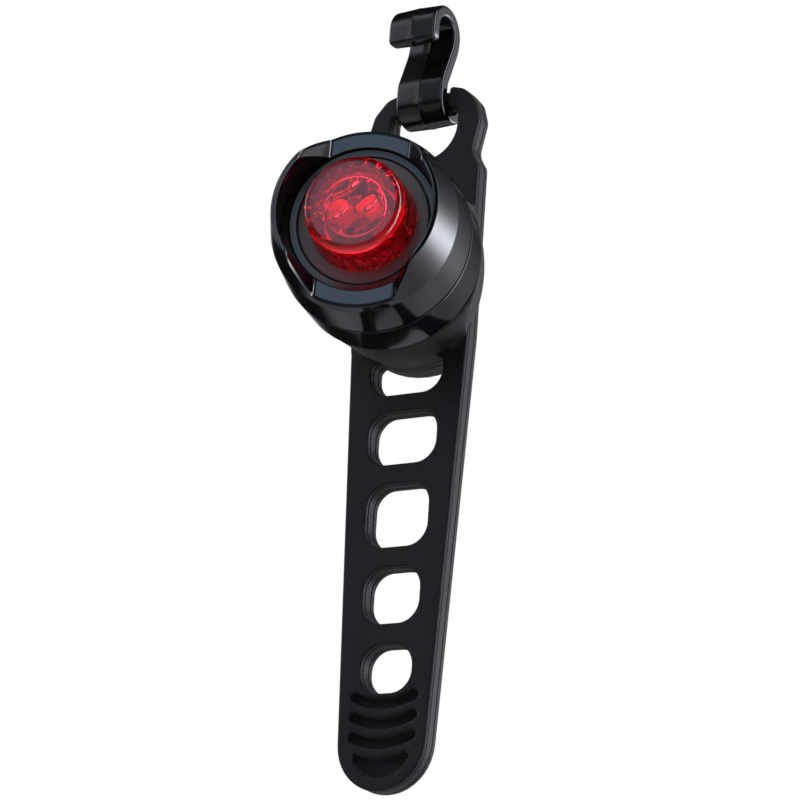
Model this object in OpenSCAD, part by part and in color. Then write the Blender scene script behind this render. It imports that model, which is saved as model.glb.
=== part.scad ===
// Rear light for a bicycle: a round push-lens lamp on a rubber strap with a plastic hook.
// The strap runs along Z, the lamp faces -Y, and the post that it is strapped to lies along X.

/* [Lamp housing] */
// Diameter of the lamp at the seam between housing and base
lamp_d = 34; // [33:0.5:38]
// How far the housing's wall draws in from the seam to its crease
band_step = 0.65; // [0.2:0.05:1]
// How far it draws in from the crease to the top of the ears
ear_step = 1.95; // [1.4:0.05:2.2]
// Distance of the crease below the flat front faces
crease_drop = 1.4; // [0.8:0.1:3]
// Height of the flat front faces above the seam
front_h = 9.5; // [9:0.1:12]
// Rise of the two side ears above the flat front faces
ear_rise = 6.1; // [4:0.1:7]
// Width of the flat faces between the ears
flat_w = 13.8; // [10:0.1:17]
// Sideways run of each ear's ramp
ramp_w = 3.85; // [2.5:0.05:5]
// Turn of the ears from level, as the bayonet stops
ear_turn = -2.3; // [-5:0.1:5]
// Width of the bezel round the button
bezel_w = 1.2; // [1:0.05:1.6]
// Width of the rim along the top of the ears
ear_rim_w = 0.85; // [0.6:0.05:1]
// Wall of the housing at the seam
housing_wall = 2.4; // [2.2:0.1:2.8]
// Thickness of the web that carries the board
web_t = 1.6; // [1.2:0.1:2]
// Chamfer on the outer edges of housing and base
edge = 0.3; // [0.1:0.05:0.6]

/* [Base] */
// Depth of the base behind the seam
base_h = 10; // [9.4:0.1:13]
// Diameter of the base at its rear edge
base_rear_d = 33.4; // [32:0.1:36]
// Thickness of the base's floor
base_floor = 1.4; // [1:0.1:1.8]
// Wall of the base behind its spigot
base_wall = 2; // [1.5:0.1:3]
// Wall of the spigot that enters the housing
spigot_wall = 0.9; // [0.7:0.05:1]
// Depth of each bayonet lug
lug_depth = 0.75; // [0.5:0.05:0.9]
// Thickness of each bayonet lug
lug_t = 1; // [0.7:0.1:1.1]
// Angle that each bayonet lug spans
lug_angle = 24; // [15:1:34]
// Angle from locked to open
twist_open = 45; // [40:1:60]
// Section diameter of the sealing ring
seal_d = 0.9; // [0.6:0.1:1]
// Diameter of the stud that holds the strap
stud_d = 8; // [6.5:0.5:10]

/* [Lens and button] */
// Diameter of the lens at its foot
lens_d = 18.8; // [18.4:0.1:19.4]
// Diameter of the lens below its rounded front edge
lens_top_d = 17.1; // [16:0.1:18]
// Height of the lens above the button ring
lens_rise = 7.9; // [7.2:0.1:10]
// Radius of the lens's front edge
lens_edge_r = 1.9; // [0.6:0.1:2.2]
// Thickness of the lens front
lens_front_t = 2.2; // [1.5:0.1:2.4]
// Diameter of the clear window in the lens front
window_d = 10.6; // [8:0.1:12]
// Wall of the lens at its foot
lens_wall = 1.4; // [1.2:0.1:1.6]
// Number of prism flutes inside the lens
flute_count = 22; // [12:1:36]
// Radius of each prism flute
flute_r = 0.8; // [0.4:0.05:0.9]
// Diameter of the button ring's visible face
button_d = 22.9; // [22.4:0.1:23]
// Travel of the lens when it is pressed
press_travel = 0.7; // [0.4:0.05:0.9]
// Thickness of the bezel's lip
bezel_lip = 0.7; // [0.5:0.05:0.9]
// Drop from the flat front faces to the bezel
bezel_drop = 0.75; // [0.4:0.05:1.2]

/* [Electronics] */
// Diameter of a coin cell
cell_d = 20; // [19:0.1:20.4]
// Thickness of a coin cell
cell_t = 3.2; // [2.5:0.1:3.6]
// Thickness of the circuit board
board_t = 1.2; // [0.8:0.1:1.6]
// Diameter of a light-emitting diode
led_d = 5; // [4:0.1:5.2]
// Height of a light-emitting diode
led_h = 8.6; // [6:0.1:8.8]
// Thickness of the contact strips
strip_t = 0.3; // [0.2:0.05:0.4]
// Width of the contact strips
strip_w = 4; // [3:0.5:6]

/* [Seat on the post] */
// Lean of the lamp on the strap, which levels the beam on a raked post
seat_lean = 17.5; // [10:0.5:20]
// Distance from the middle of the base to the strap's front face
seat_gap = 8.8; // [7.5:0.1:12]
// Diameter of the round seat
seat_d = 33; // [30:0.5:34]
// Width of the seat at the strap's back
seat_w = 25; // [24:0.5:28]
// Radius of the seat's bulging sides
seat_side_r = 27; // [22:1:60]
// Flare of the seat's sides towards the base
seat_flare = 25; // [10:1:28]
// Diameter of the post
post_d = 27.2; // [25:0.1:32]
// Angle of the post that the pad covers
pad_wrap = 112; // [110:1:120]
// Rubber between post and strap
pad_min = 1; // [0.6:0.1:2]
// Width of the pad at the strap
pad_w = 19.6; // [17:0.2:22]
// Width of the pad at its ridges
pad_back_w = 13.4; // [12:0.2:16]
// Thickness of the pad at its upper and lower ends
pad_end_t = 4; // [3:0.1:5]
// Diameter of the retainer plate behind the strap
retainer_d = 14; // [11:0.5:18]
// Thickness of the retainer plate
retainer_t = 1.8; // [1.5:0.1:2.2]

/* [Strap] */
// Width of the strap behind the lamp
strap_w = 23.4; // [22:0.1:24]
// Width of the strap at its tip
strap_tip_w = 16; // [14:0.1:19]
// Thickness of the strap
strap_t = 3.6; // [3:0.1:5]
// Distance from the lamp's axis down to the tip
strap_drop = 92.2; // [91:0.5:110]
// Radius of the tip's corners
tip_r = 7.5; // [3:0.1:7.5]
// Distance from the lamp's axis to the lower edge of the first hole
first_hole = 22.2; // [21:0.1:24]
// Heights of the other holes, from the lamp to the tip
hole_heights = [9.9, 11.8, 10.4, 8.8];
// Bar of rubber between two holes
hole_bar = 3; // [2:0.1:3.6]
// Rubber left beside each hole
hole_side = 4; // [3:0.1:4.8]
// Corner radius of the holes
hole_r = 3.9; // [2:0.1:4.2]
// Number of grip grooves at the tip
groove_count = 3; // [1:1:3]
// Pitch of the grip grooves
groove_pitch = 3.45; // [2.6:0.05:3.6]
// Width of a grip groove
groove_w = 2.4; // [1.2:0.1:2.6]
// Depth of a grip groove
groove_depth = 0.8; // [0.4:0.1:1.4]
// Depth of the half-moon thumb rest below the line of the grooves
thumb_drop = 1.8; // [1:0.1:2.2]
// Radius along which the grip grooves curve
groove_r = 15; // [12:0.5:25]

/* [Loop and hook] */
// Height of the loop's bar above the lamp's axis
bar_z = 33.6; // [33:0.1:40]
// Diameter of the loop's bar
bar_d = 3.6; // [3:0.1:4]
// Free length of the round bar
bar_len = 10.8; // [10.4:0.1:12]
// Greatest width of the loop
loop_w = 23; // [22:0.1:26]
// Width of the loop across its top corners, before they are rounded
loop_top_w = 21; // [20:0.1:22]
// Radius of the loop's top corners
loop_r = 6.3; // [3:0.1:6.4]
// Rubber that stands above the bar on each side of the hook
loop_over = 0.5; // [0:0.1:1]
// Width of the waist below the loop
waist_w = 20.4; // [19:0.1:23]
// Width of the loop's opening
loop_hole_w = 13.8; // [13:0.1:15]
// Height of the loop's opening
loop_hole_h = 8.9; // [8:0.1:10]
// Width of the hook
hook_w = 9.2; // [7:0.1:9.8]
// Thickness of the hook
hook_t = 2.2; // [1.6:0.1:2.4]
// Upright run of the hook above the bar
hook_rise = 2.6; // [1:0.1:5]
// Inner radius of the knee from which the hook leans back
knee_r = 2.8; // [1.5:0.1:5]
// Straight length of the hook above its knee
hook_len = 7.85; // [5:0.05:12]
// Lean of that length
hook_lean = 20; // [8:0.5:28]
// Inner radius of the hook's top bend
bend_r = 2.6; // [2:0.1:4]
// Length of the hook's front lip
hook_lip = 1.9; // [1:0.1:4]
// Angle that the hook's lower bend wraps round the bar
curl_wrap = 220; // [190:1:230]

/* [Clearances] */
// Gap between pieces that move past each other
run_gap = 0.15; // [0.1:0.01:0.2]
// Gap between fixed pieces that are assembled together
fit_gap = 0.05; // [0.02:0.01:0.1]
// Gap between the hook and the bar that it swings on
swing_gap = 0.08; // [0.04:0.01:0.1]
// Gap at the seam, and between housing and base where they turn
turn_gap = 0.2; // [0.15:0.01:0.3]

/* [Hidden] */
$fn = 96;

// Overshoot of cutting solids, and a length beyond the whole part
over = 1;
far = 200;

// Places along Y, from the post's axis forward
strap_back = -(post_d / 2 + pad_min);
strap_front = strap_back - strap_t;
base_rear_y = strap_front - seat_gap;
bar_y = (strap_back + strap_front) / 2;

// Heights along the lamp's axis, from the seam forward
ear_h = front_h + ear_rise;
bezel_top = front_h - bezel_drop;
lip_bottom = bezel_top - bezel_lip;
rim_t = 0.6;
rim_top = lip_bottom - run_gap;
rim_bottom = rim_top - rim_t;
spring_t = 0.25;
web_top = rim_bottom - press_travel - spring_t - run_gap;
web_bottom = web_top - web_t;
board_bottom = web_bottom - board_t;
flange_t = 1;
flange_bottom = board_bottom - flange_t;
button_top = bezel_top + 0.1;
button_floor = rim_bottom - 0.35;
lens_top = button_top + lens_rise;
floor_top = base_floor - base_h;

// Bayonet between housing and base
spigot_top = flange_bottom - 0.3;
lug_top = spigot_top - 0.3;
lug_bottom = lug_top - lug_t;
lug_count = 3;

// Radii of the housing and base
lamp_r = lamp_d / 2;
crease_h = front_h - crease_drop;
crease_r = lamp_r - band_step;
ear_r = crease_r - ear_step;
cavity_r = lamp_r - housing_wall;
spigot_r = cavity_r - turn_gap;
spigot_in = spigot_r - spigot_wall;
lug_r = spigot_r + lug_depth;
groove_in_r = lug_r + turn_gap;
base_in = lamp_r - base_wall;
seal_r = lamp_r - 1;

// Cells and their holder
cup_in = cell_d / 2 + 0.15;
cup_wall = 0.7;
cup_r = cup_in + cup_wall;
flange_r = spigot_in - turn_gap;
screw_circle = (cup_r + flange_r) / 2;
screw_r = 0.8;
screw_head_r = 1.1;
screw_head_t = 1;
screw_grip = web_t - 0.3;
screw_count = 3;

// Radii of the button and lens, and of the well that they sit in
bezel_in = button_d / 2 + run_gap;
bezel_r = bezel_in + bezel_w;
well_r = bezel_r + fit_gap;
well_top_r = max(well_r, ear_r - ear_rim_w);
rim_r = bezel_r - 0.7;
lens_foot_r = lens_d / 2 - 0.6;
lens_in = lens_foot_r - lens_wall;
web_land = 0.675;
button_seal_wall = 0.5;
button_seal_r = screw_circle - screw_r - web_land;
skirt_r = button_seal_r - button_seal_wall - run_gap;
skirt_wall = 0.45;

// Places of the cells and contacts
strip_lift = 0.35;
rear_cell_bottom = floor_top + strip_lift + strip_t;
front_cell_bottom = rear_cell_bottom + cell_t;
cells_top = front_cell_bottom + cell_t;
cup_floor_t = 1;
cup_floor = cells_top + strip_t;
contact_x = 7;

// Switch on the board
switch_l = 2.2;
switch_w = 3;
switch_y = -(skirt_r - skirt_wall - 0.3 - switch_l / 2);
switch_top = button_floor - press_travel - run_gap;
plunger_r = 0.6;
plunger_hold = 0.35;

// Lamps and reflector
led_x = led_d / 2 + 0.15;
reflector_foot_r = led_x + led_d / 2 + 0.15;
reflector_top = button_top + 0.7;
reflector_wall = 0.4;
reflector_r = lens_in - 0.7;
reflector_lean = atan2(reflector_r - reflector_wall - reflector_foot_r, reflector_top - web_bottom);

// Retainer and its screw
stud_r = stud_d / 2;
retainer_r = retainer_d / 2;
retainer_sink = 0.2;
stud_end = strap_back - retainer_sink - retainer_t;
bolt_r = 1.45;
bolt_head_r = 2.75;
bolt_head_t = bolt_head_r - bolt_r;
bolt_len = 9;

// Strap outline, in X and Z
taper_start = 12;
shoulder_z = bar_z - 13.7;
waist_z = bar_z - 10.8;
loop_z = bar_z - 4.2;
loop_top = bar_z + bar_d / 2 + loop_over;
loop_hole_top = bar_z - bar_d / 2;

// Hook, about the axis of the bar
curl_in = bar_d / 2 + swing_gap;
curl_out = curl_in + hook_t;

function half_width(z) = let (
    run = strap_drop - taper_start,
    share = (-z - taper_start) / run
) strap_w / 2 - max(0, share) * (strap_w - strap_tip_w) / 2;

// Lower edge of hole i, counted from the lamp; hole 0 is the one that the seat cuts off
function hole_bottom(i) = i == 0 ? -first_hole : hole_bottom(i - 1) - hole_bar - hole_heights[i - 1];

// Points of one rounded corner at p, between its neighbours a and b
function corner(a, p, b, r, steps = 8) = let (
    u = (a - p) / norm(a - p),
    v = (b - p) / norm(b - p),
    half = acos(u * v) / 2,
    reach = r / tan(half),
    centre = p + (u + v) / norm(u + v) * r / sin(half),
    first = p + u * reach - centre,
    last = p + v * reach - centre,
    from = atan2(first.y, first.x),
    sweep = (atan2(last.y, last.x) - from + 540) % 360 - 180
) [for (i = [0 : steps]) centre + r * [cos(from + sweep * i / steps), sin(from + sweep * i / steps)]];

// Outline through points given as [x, z, corner radius]
function rounded(path) = let (n = len(path), at = [for (p = path) [p.x, p.y]])
    [for (i = [0 : n - 1]) each corner(at[(i + n - 1) % n], at[i], at[(i + 1) % n], path[i].z)];

function mirrored(path) = [for (i = [len(path) - 1 : -1 : 0]) [-path[i].x, path[i].y, path[i].z]];

module rounded_rect(half_w, low, high, r_low, r_high) {
    right = [[half_w, low, r_low], [half_w, high, r_high]];
    polygon(rounded(concat(right, mirrored(right))));
}

// Puts children in the lamp's frame: z along its axis from the seam, y up the strap
module at_lamp() {
    translate([0, base_rear_y, 0]) rotate([0, 0, seat_lean]) rotate([90, 0, 0])
        translate([0, 0, base_h]) children();
}

// Extrudes an outline drawn in X and Z through a span of Y
module through_y(from, to) {
    translate([0, to, 0]) rotate([90, 0, 0]) linear_extrude(to - from) children();
}

module post_side(from, to, r) {
    translate([0, to, 0]) rotate([90, 0, 0]) cylinder(r = r, h = to - from);
}

module ring(r_in, r_out, low, high) {
    rotate_extrude() translate([r_in, low]) square([r_out - r_in, high - low]);
}

// Part of a ring, centred on an angle
module ring_part(r_in, r_out, low, high, middle, span) {
    rotate([0, 0, middle - span / 2]) rotate_extrude(angle = span)
        translate([r_in, low]) square([r_out - r_in, high - low]);
}

module around(count, r = 0, first = 90) {
    for (i = [0 : count - 1]) rotate([0, 0, first + 360 / count * i]) translate([r, 0, 0]) children();
}

// Rubber strap with its loop, holes, grip grooves and the leaning seat for the base
module strap_outline() {
    right = [
        [strap_tip_w / 2, -strap_drop, tip_r],
        [strap_w / 2, -taper_start, 40],
        [strap_w / 2, shoulder_z, 2.5],
        [waist_w / 2, waist_z, 3],
        [loop_w / 2, loop_z, 3.5],
        [loop_top_w / 2, loop_top, loop_r]
    ];
    polygon(rounded(concat(right, mirrored(right))));
}

module strap_holes() {
    difference() {
        rounded_rect(half_width(-first_hole) - hole_side, -first_hole, 0, hole_r, hole_r);
        circle(d = seat_d);
    }
    for (i = [1 : len(hole_heights)]) {
        low = hole_bottom(i);
        high = low + hole_heights[i - 1];
        rounded_rect(half_width((low + high) / 2) - hole_side, low, high, hole_r, hole_r);
    }
    rounded_rect(loop_hole_w / 2, loop_hole_top - loop_hole_h, loop_hole_top, 3.8, 2.2);
}

module grip_grooves() {
    grip_half = strap_tip_w / 2 - 1.4;
    first_groove = hole_bottom(len(hole_heights)) - 3;
    for (i = [0 : groove_count - 1])
        translate([0, first_groove - groove_pitch * i]) intersection() {
            translate([0, groove_r]) difference() {
                circle(r = groove_r);
                circle(r = groove_r - groove_w);
            }
            translate([-grip_half, -over]) square([2 * grip_half, groove_r]);
        }
    thumb_z = first_groove - groove_pitch * groove_count;
    intersection() {
        translate([0, thumb_z + grip_half - thumb_drop]) circle(r = grip_half - 0.2);
        translate([0, thumb_z + groove_r]) difference() {
            circle(r = groove_r + groove_w + thumb_drop);
            circle(r = groove_r - groove_w);
        }
    }
}

// What lies inside a shape and inside its mirror image
module for_both_sides() {
    intersection() {
        children();
        mirror([1, 0, 0]) children();
    }
}

module strap_seat() {
    intersection() {
        post_side(base_rear_y - far, strap_back, seat_d / 2);
        for_both_sides() translate([seat_w / 2, strap_back, 0]) rotate([0, 0, seat_flare])
            translate([-seat_side_r, 0, 0]) rotate([90, 0, 0])
            cylinder(r = seat_side_r, h = far, center = true);
        at_lamp() translate([-far / 2, -far / 2, -base_h - far]) cube(far);
    }
}

module strap() color("#1b1b1d") {
    difference() {
        union() {
            through_y(strap_front, strap_back) difference() {
                strap_outline();
                strap_holes();
            }
            strap_seat();
        }
        through_y(strap_front - over, strap_front + groove_depth) grip_grooves();
        translate([-bar_len / 2, strap_front - over, loop_hole_top - over])
            cube([bar_len, strap_t + 2 * over, loop_top - loop_hole_top + 2 * over]);
        post_side(base_rear_y - far, strap_back + over, stud_r + fit_gap);
        post_side(stud_end, strap_back + over, retainer_r + fit_gap);
    }
    translate([-bar_len / 2 - over / 2, bar_y, bar_z]) rotate([0, 90, 0])
        cylinder(d = bar_d, h = bar_len + over);
}

// Points along an arc, a few degrees apart
function arc(centre, r, from, to) = let (steps = ceil(abs(to - from) / 7.5))
    [for (i = [0 : steps]) let (a = from + (to - from) * i / steps) centre + r * [cos(a), sin(a)]];

// Side view of the hook about the bar's axis, with the back to the right
module hook_section() {
    along = [sin(hook_lean), cos(hook_lean)];
    outward = [-cos(hook_lean), sin(hook_lean)];
    knee = [knee_r - curl_in, hook_rise];
    bend = knee + along * hook_len + outward * (knee_r + hook_t + bend_r);
    curl_to = 180 + curl_wrap;
    curl_end = (curl_in + hook_t / 2) * [cos(curl_to), sin(curl_to)];
    round_off = 7.5;
    polygon(concat(
        arc([0, 0], curl_out, curl_to, 180),
        arc(knee, knee_r + hook_t, 180, 180 - hook_lean),
        arc(bend, bend_r, -hook_lean, 180),
        arc(bend - [bend_r + hook_t / 2, hook_lip], hook_t / 2, 0, -180),
        arc(bend, bend_r + hook_t, 180, -hook_lean),
        arc(knee, knee_r, 180 - hook_lean, 180),
        arc([0, 0], curl_in, 180, curl_to),
        arc(curl_end, hook_t / 2, curl_to + 180 - round_off, curl_to + round_off)
    ));
}

// Plastic hook that swings on the loop's bar
module hook() color("#141416") translate([0, bar_y, bar_z]) rotate([90, 0, 90])
    linear_extrude(hook_w, center = true) hook_section();

// Rubber pad behind the strap, hollowed to lie on the post
module post_pad() color("#202022") {
    ridge = post_d / 2 * [-cos(pad_wrap / 2), sin(pad_wrap / 2)];
    draft = (pad_w - pad_back_w) / 2 / (ridge.x - strap_back);
    intersection() {
        post_side(strap_back, far, seat_d / 2);
        linear_extrude(far, center = true) polygon([
            [-pad_w / 2, strap_back],
            [pad_w / 2, strap_back],
            [pad_back_w / 2 - draft * over, ridge.x + over],
            [draft * over - pad_back_w / 2, ridge.x + over]
        ]);
        rotate([90, 0, 90]) linear_extrude(far, center = true) difference() {
            polygon([
                [strap_back, -seat_d / 2],
                [strap_back + pad_end_t, -seat_d / 2],
                [ridge.x, -ridge.y],
                ridge,
                [strap_back + pad_end_t, seat_d / 2],
                [strap_back, seat_d / 2]
            ]);
            circle(d = post_d);
        }
    }
}

// Plate that spreads the screw's load on the rubber
module strap_retainer() color("#b9bcc0") difference() {
    post_side(stud_end, stud_end + retainer_t, retainer_r);
    post_side(stud_end - over, stud_end + retainer_t + over, bolt_r + fit_gap);
    strap_screw_head(bolt_head_r + fit_gap);
}

module strap_screw_head(r) {
    translate([0, strap_back - retainer_sink, 0]) rotate([90, 0, 0])
        cylinder(r1 = r, r2 = r - bolt_head_t, h = bolt_head_t);
}

module strap_screw() color("#c9cbce") difference() {
    union() {
        post_side(strap_back - retainer_sink - bolt_len, strap_back - retainer_sink, bolt_r);
        strap_screw_head(bolt_head_r);
    }
    through_y(strap_back - retainer_sink - 0.9, strap_back) for (a = [0, 90])
        rotate(a) square([3, 0.6], center = true);
}

// Base of the lamp, with the bayonet spigot in front and the stud behind
module base() color("#0e0f12") difference() {
    union() {
        at_lamp() {
            rotate_extrude() polygon([
                [0, -base_h],
                [base_rear_d / 2 - edge, -base_h],
                [base_rear_d / 2, edge - base_h],
                [lamp_r, -turn_gap - edge],
                [lamp_r - edge, -turn_gap],
                [spigot_r, -turn_gap],
                [spigot_r, spigot_top],
                [spigot_in, spigot_top],
                [spigot_in, -turn_gap],
                [base_in, spigot_in - base_in - turn_gap],
                [base_in, floor_top],
                [0, floor_top]
            ]);
            around(lug_count) ring_part(spigot_r - spigot_wall / 2, lug_r, lug_bottom, lug_top, 0, lug_angle);
        }
        intersection() {
            post_side(base_rear_y - far, stud_end, stud_r);
            at_lamp() translate([0, 0, -base_h - far / 2]) cylinder(r = lamp_r, h = far / 2 + base_floor / 2);
        }
    }
    at_lamp() ring(seal_r - seal_d / 2 - fit_gap, seal_r + seal_d / 2 + fit_gap, -seal_d - 2 * fit_gap, 0);
    post_side(stud_end - bolt_len, stud_end + over, bolt_r + fit_gap);
}

// Rubber ring between base and housing
module base_seal() color("#2b2b2e") at_lamp() rotate_extrude()
    translate([seal_r, -seal_d / 2 - fit_gap]) circle(d = seal_d, $fn = 32);

// Housing with two flat front faces, two raised ears and the bayonet groove
module housing() color("#121317") at_lamp() difference() {
    rotate_extrude() polygon([
        [cavity_r, 0],
        [lamp_r - edge, 0],
        [lamp_r - edge * band_step / crease_h, edge],
        [crease_r, crease_h],
        [ear_r, ear_h],
        [well_top_r, ear_h],
        [well_r, bezel_top],
        [well_r, web_top],
        [button_seal_r, web_top],
        [button_seal_r, web_bottom],
        [cavity_r, web_bottom]
    ]);
    rotate([0, 0, ear_turn]) ear_gap();
    ring(0, groove_in_r, lug_bottom - run_gap, lug_top + run_gap);
    around(lug_count)
        ring_part(cavity_r - over, groove_in_r + fit_gap, -over, lug_top, -twist_open, lug_angle + 6);
    around(screw_count, screw_circle, 30) translate([0, 0, web_bottom - over])
        cylinder(r = screw_r + fit_gap, h = screw_grip + over + fit_gap);
}

module ear_gap() {
    slope = ramp_w / ear_rise;
    rotate([90, 0, 0]) linear_extrude(far, center = true) polygon([
        [-flat_w / 2, front_h],
        [flat_w / 2, front_h],
        [flat_w / 2 + slope * (ear_rise + over), ear_h + over],
        [-flat_w / 2 - slope * (ear_rise + over), ear_h + over]
    ]);
}

// Ring that holds the button in the well
module bezel_ring() color("#191a1f") at_lamp() rotate_extrude() polygon([
    [bezel_r, web_top],
    [bezel_r, bezel_top - edge],
    [bezel_r - edge, bezel_top],
    [bezel_in, bezel_top],
    [bezel_in, lip_bottom],
    [rim_r + run_gap, lip_bottom],
    [rim_r + run_gap, web_top]
]);

// Soft sleeve in the web, in which the button's skirt slides
module button_seal() color("#3a3a3d") at_lamp()
    ring(button_seal_r - button_seal_wall, button_seal_r - fit_gap, web_bottom, web_top);

// Wavy ring that lifts the button
module wave_spring() color("#d2d4d6") at_lamp() {
    waves = 4;
    steps = 72;
    r_in = skirt_r + 0.7;
    r_out = rim_r - 0.1;
    room = rim_bottom - web_top;
    lift = (room - spring_t) / 2 - fit_gap;
    corners = [[r_in, -0.5], [r_out, -0.5], [r_out, 0.5], [r_in, 0.5]];
    points = [for (i = [0 : steps - 1], c = corners) let (a = 360 / steps * i)
        [c.x * cos(a), c.x * sin(a), web_top + room / 2 + lift * cos(waves * a) + c.y * spring_t]];
    faces = [for (i = [0 : steps - 1], k = [0 : 3]) let (j = (i + 1) % steps, m = (k + 1) % 4)
        each [[4 * i + k, 4 * j + k, 4 * j + m], [4 * i + k, 4 * j + m, 4 * i + m]]];
    polyhedron(points, [for (f = faces) [f[2], f[1], f[0]]]);
}

// Ring that carries the lens and presses the switch
module button_ring() color("#16171a") at_lamp() rotate_extrude() polygon([
    [lens_in + fit_gap, button_floor],
    [skirt_r - skirt_wall, button_floor],
    [skirt_r - skirt_wall, web_bottom + press_travel + turn_gap],
    [skirt_r, web_bottom + press_travel + turn_gap],
    [skirt_r, rim_bottom],
    [rim_r, rim_bottom],
    [rim_r, rim_top],
    [button_d / 2, rim_top],
    [button_d / 2, button_top - edge / 2],
    [button_d / 2 - edge / 2, button_top],
    [lens_foot_r + fit_gap, button_top],
    [lens_foot_r + fit_gap, button_floor + 0.6],
    [lens_in + fit_gap, button_floor + 0.6]
]);

// Clear red cap, hollow over the lamps, with prism flutes round its inside
module lens() color("#d0101c", 0.75) at_lamp() difference() {
    rotate_extrude() {
        polygon([
            [0, button_floor + 0.6],
            [lens_foot_r, button_floor + 0.6],
            [lens_foot_r, button_top],
            [lens_d / 2, button_top],
            [lens_top_d / 2, lens_top - lens_edge_r],
            [lens_top_d / 2 - lens_edge_r, lens_top],
            [0, lens_top]
        ]);
        intersection() {
            translate([lens_top_d / 2 - lens_edge_r, lens_top - lens_edge_r]) circle(r = lens_edge_r);
            square([far, far]);
        }
    }
    rotate_extrude() polygon([
        [0, button_floor - over],
        [lens_in, button_floor - over],
        [lens_in, button_top + 2.8],
        [window_d / 2, lens_top - lens_front_t],
        [0, lens_top - lens_front_t]
    ]);
    around(flute_count, lens_in) translate([0, 0, button_floor])
        cylinder(r = flute_r, h = button_top + 2.4 - button_floor);
}

// Fluted bright cone round the lamps
module reflector() color("#e6e6e8") at_lamp() difference() {
    rotate_extrude() polygon([
        [reflector_foot_r, web_bottom],
        [reflector_foot_r + reflector_wall, web_bottom],
        [reflector_r, reflector_top],
        [reflector_r - reflector_wall, reflector_top]
    ]);
    around(16, reflector_foot_r) translate([0, 0, web_bottom]) rotate([0, reflector_lean, 0])
        translate([0, 0, -over]) cylinder(r = reflector_wall / 2, h = far, $fn = 24);
}

// Two lamps side by side
module leds() color("#e8d9d9") at_lamp() for (side = [-1, 1]) translate([side * led_x, 0, web_bottom]) {
    cylinder(d = led_d, h = led_h - led_d / 2);
    translate([0, 0, led_h - led_d / 2]) sphere(d = led_d);
}

module circuit_board() color("#1f5a34") at_lamp() difference() {
    translate([0, 0, board_bottom]) cylinder(r = cavity_r - 0.5, h = board_t);
    around(screw_count, screw_circle, 30) translate([0, 0, board_bottom - over])
        cylinder(r = screw_r + fit_gap, h = board_t + 2 * over);
}

module controller_chip() color("#232325") at_lamp() translate([0, 3, board_bottom - 0.75])
    cube([5, 4, 1.5], center = true);

module resistors() color("#3b3b3d") at_lamp() for (x = [-4.5, -2.25, 0, 2.25])
    translate([x, -3.5, board_bottom - 0.3]) cube([1.2, 2, 0.6], center = true);

// Push switch under the button ring
module switch_body() color("#2a2a2c") at_lamp() difference() {
    translate([-switch_w / 2, switch_y - switch_l / 2, web_bottom])
        cube([switch_w, switch_l, switch_top - web_bottom]);
    translate([0, switch_y, switch_top - plunger_hold - press_travel - run_gap])
        cylinder(r = plunger_r + fit_gap, h = far);
}

module switch_plunger() color("#d8d4c8") at_lamp() translate([0, switch_y, switch_top - plunger_hold])
    cylinder(r = plunger_r, h = button_floor - fit_gap - switch_top + plunger_hold);

// Cup for the two cells, hung from the board
module cell_holder() color("#2e2e31") at_lamp() difference() {
    union() {
        ring(cup_in, cup_r, rear_cell_bottom, board_bottom);
        ring(0, cup_r, cup_floor, cup_floor + cup_floor_t);
        ring(cup_in, flange_r, flange_bottom, board_bottom);
    }
    around(screw_count, screw_circle, 30) translate([0, 0, flange_bottom - over])
        cylinder(r = screw_r + fit_gap, h = flange_t + 2 * over);
    contact_slot(contact_x - strip_t - fit_gap, contact_x + fit_gap, cup_floor - over);
    contact_slot(-cup_r - strip_t - 2 * fit_gap, -cup_r, flange_bottom - over);
}

// Slot for the upright leg of a contact strip
module contact_slot(from, to, low) {
    translate([from, -strip_w / 2 - fit_gap, low]) cube([to - from, strip_w + 2 * fit_gap, far]);
}

module holder_screws() color("#c9cbce") at_lamp() around(screw_count, screw_circle, 30) difference() {
    union() {
        translate([0, 0, flange_bottom]) cylinder(r = screw_r, h = web_bottom + screw_grip - flange_bottom);
        translate([0, 0, flange_bottom - screw_head_t]) cylinder(r = screw_head_r, h = screw_head_t);
    }
    for (a = [0, 90]) rotate(a) translate([0, 0, flange_bottom - screw_head_t])
        cube([1.4, 0.3, 0.8], center = true);
}

// Coin cell: a can with a narrower cap towards the board
module coin_cell(low) {
    cap_r = cell_d / 2 - 1.2;
    cap_t = 0.35;
    rotate_extrude() polygon([
        [0, low],
        [cell_d / 2 - edge, low],
        [cell_d / 2, low + edge],
        [cell_d / 2, low + cell_t - cap_t],
        [cap_r, low + cell_t - cap_t],
        [cap_r, low + cell_t],
        [0, low + cell_t]
    ]);
}

module front_cell() color("#c4c7ca") at_lamp() coin_cell(front_cell_bottom);

module rear_cell() color("#c4c7ca") at_lamp() coin_cell(rear_cell_bottom);

// Strip from the front cell's cap to the board
module negative_contact() color("#d9b25a") at_lamp() {
    translate([-contact_x, -strip_w / 2, cells_top]) cube([2 * contact_x, strip_w, strip_t]);
    translate([contact_x - strip_t, -strip_w / 2, cells_top])
        cube([strip_t, strip_w, board_bottom - cells_top]);
}

// Strip from behind the rear cell, up the outside of the cup, to the board
module positive_contact() color("#d9b25a") at_lamp() {
    leg_x = -cup_r - strip_t - fit_gap;
    translate([leg_x, -strip_w / 2, rear_cell_bottom - strip_t]) cube([cup_r + contact_x, strip_w, strip_t]);
    translate([leg_x, -strip_w / 2, rear_cell_bottom - strip_t])
        cube([strip_t, strip_w, board_bottom - rear_cell_bottom + strip_t]);
}

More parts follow.
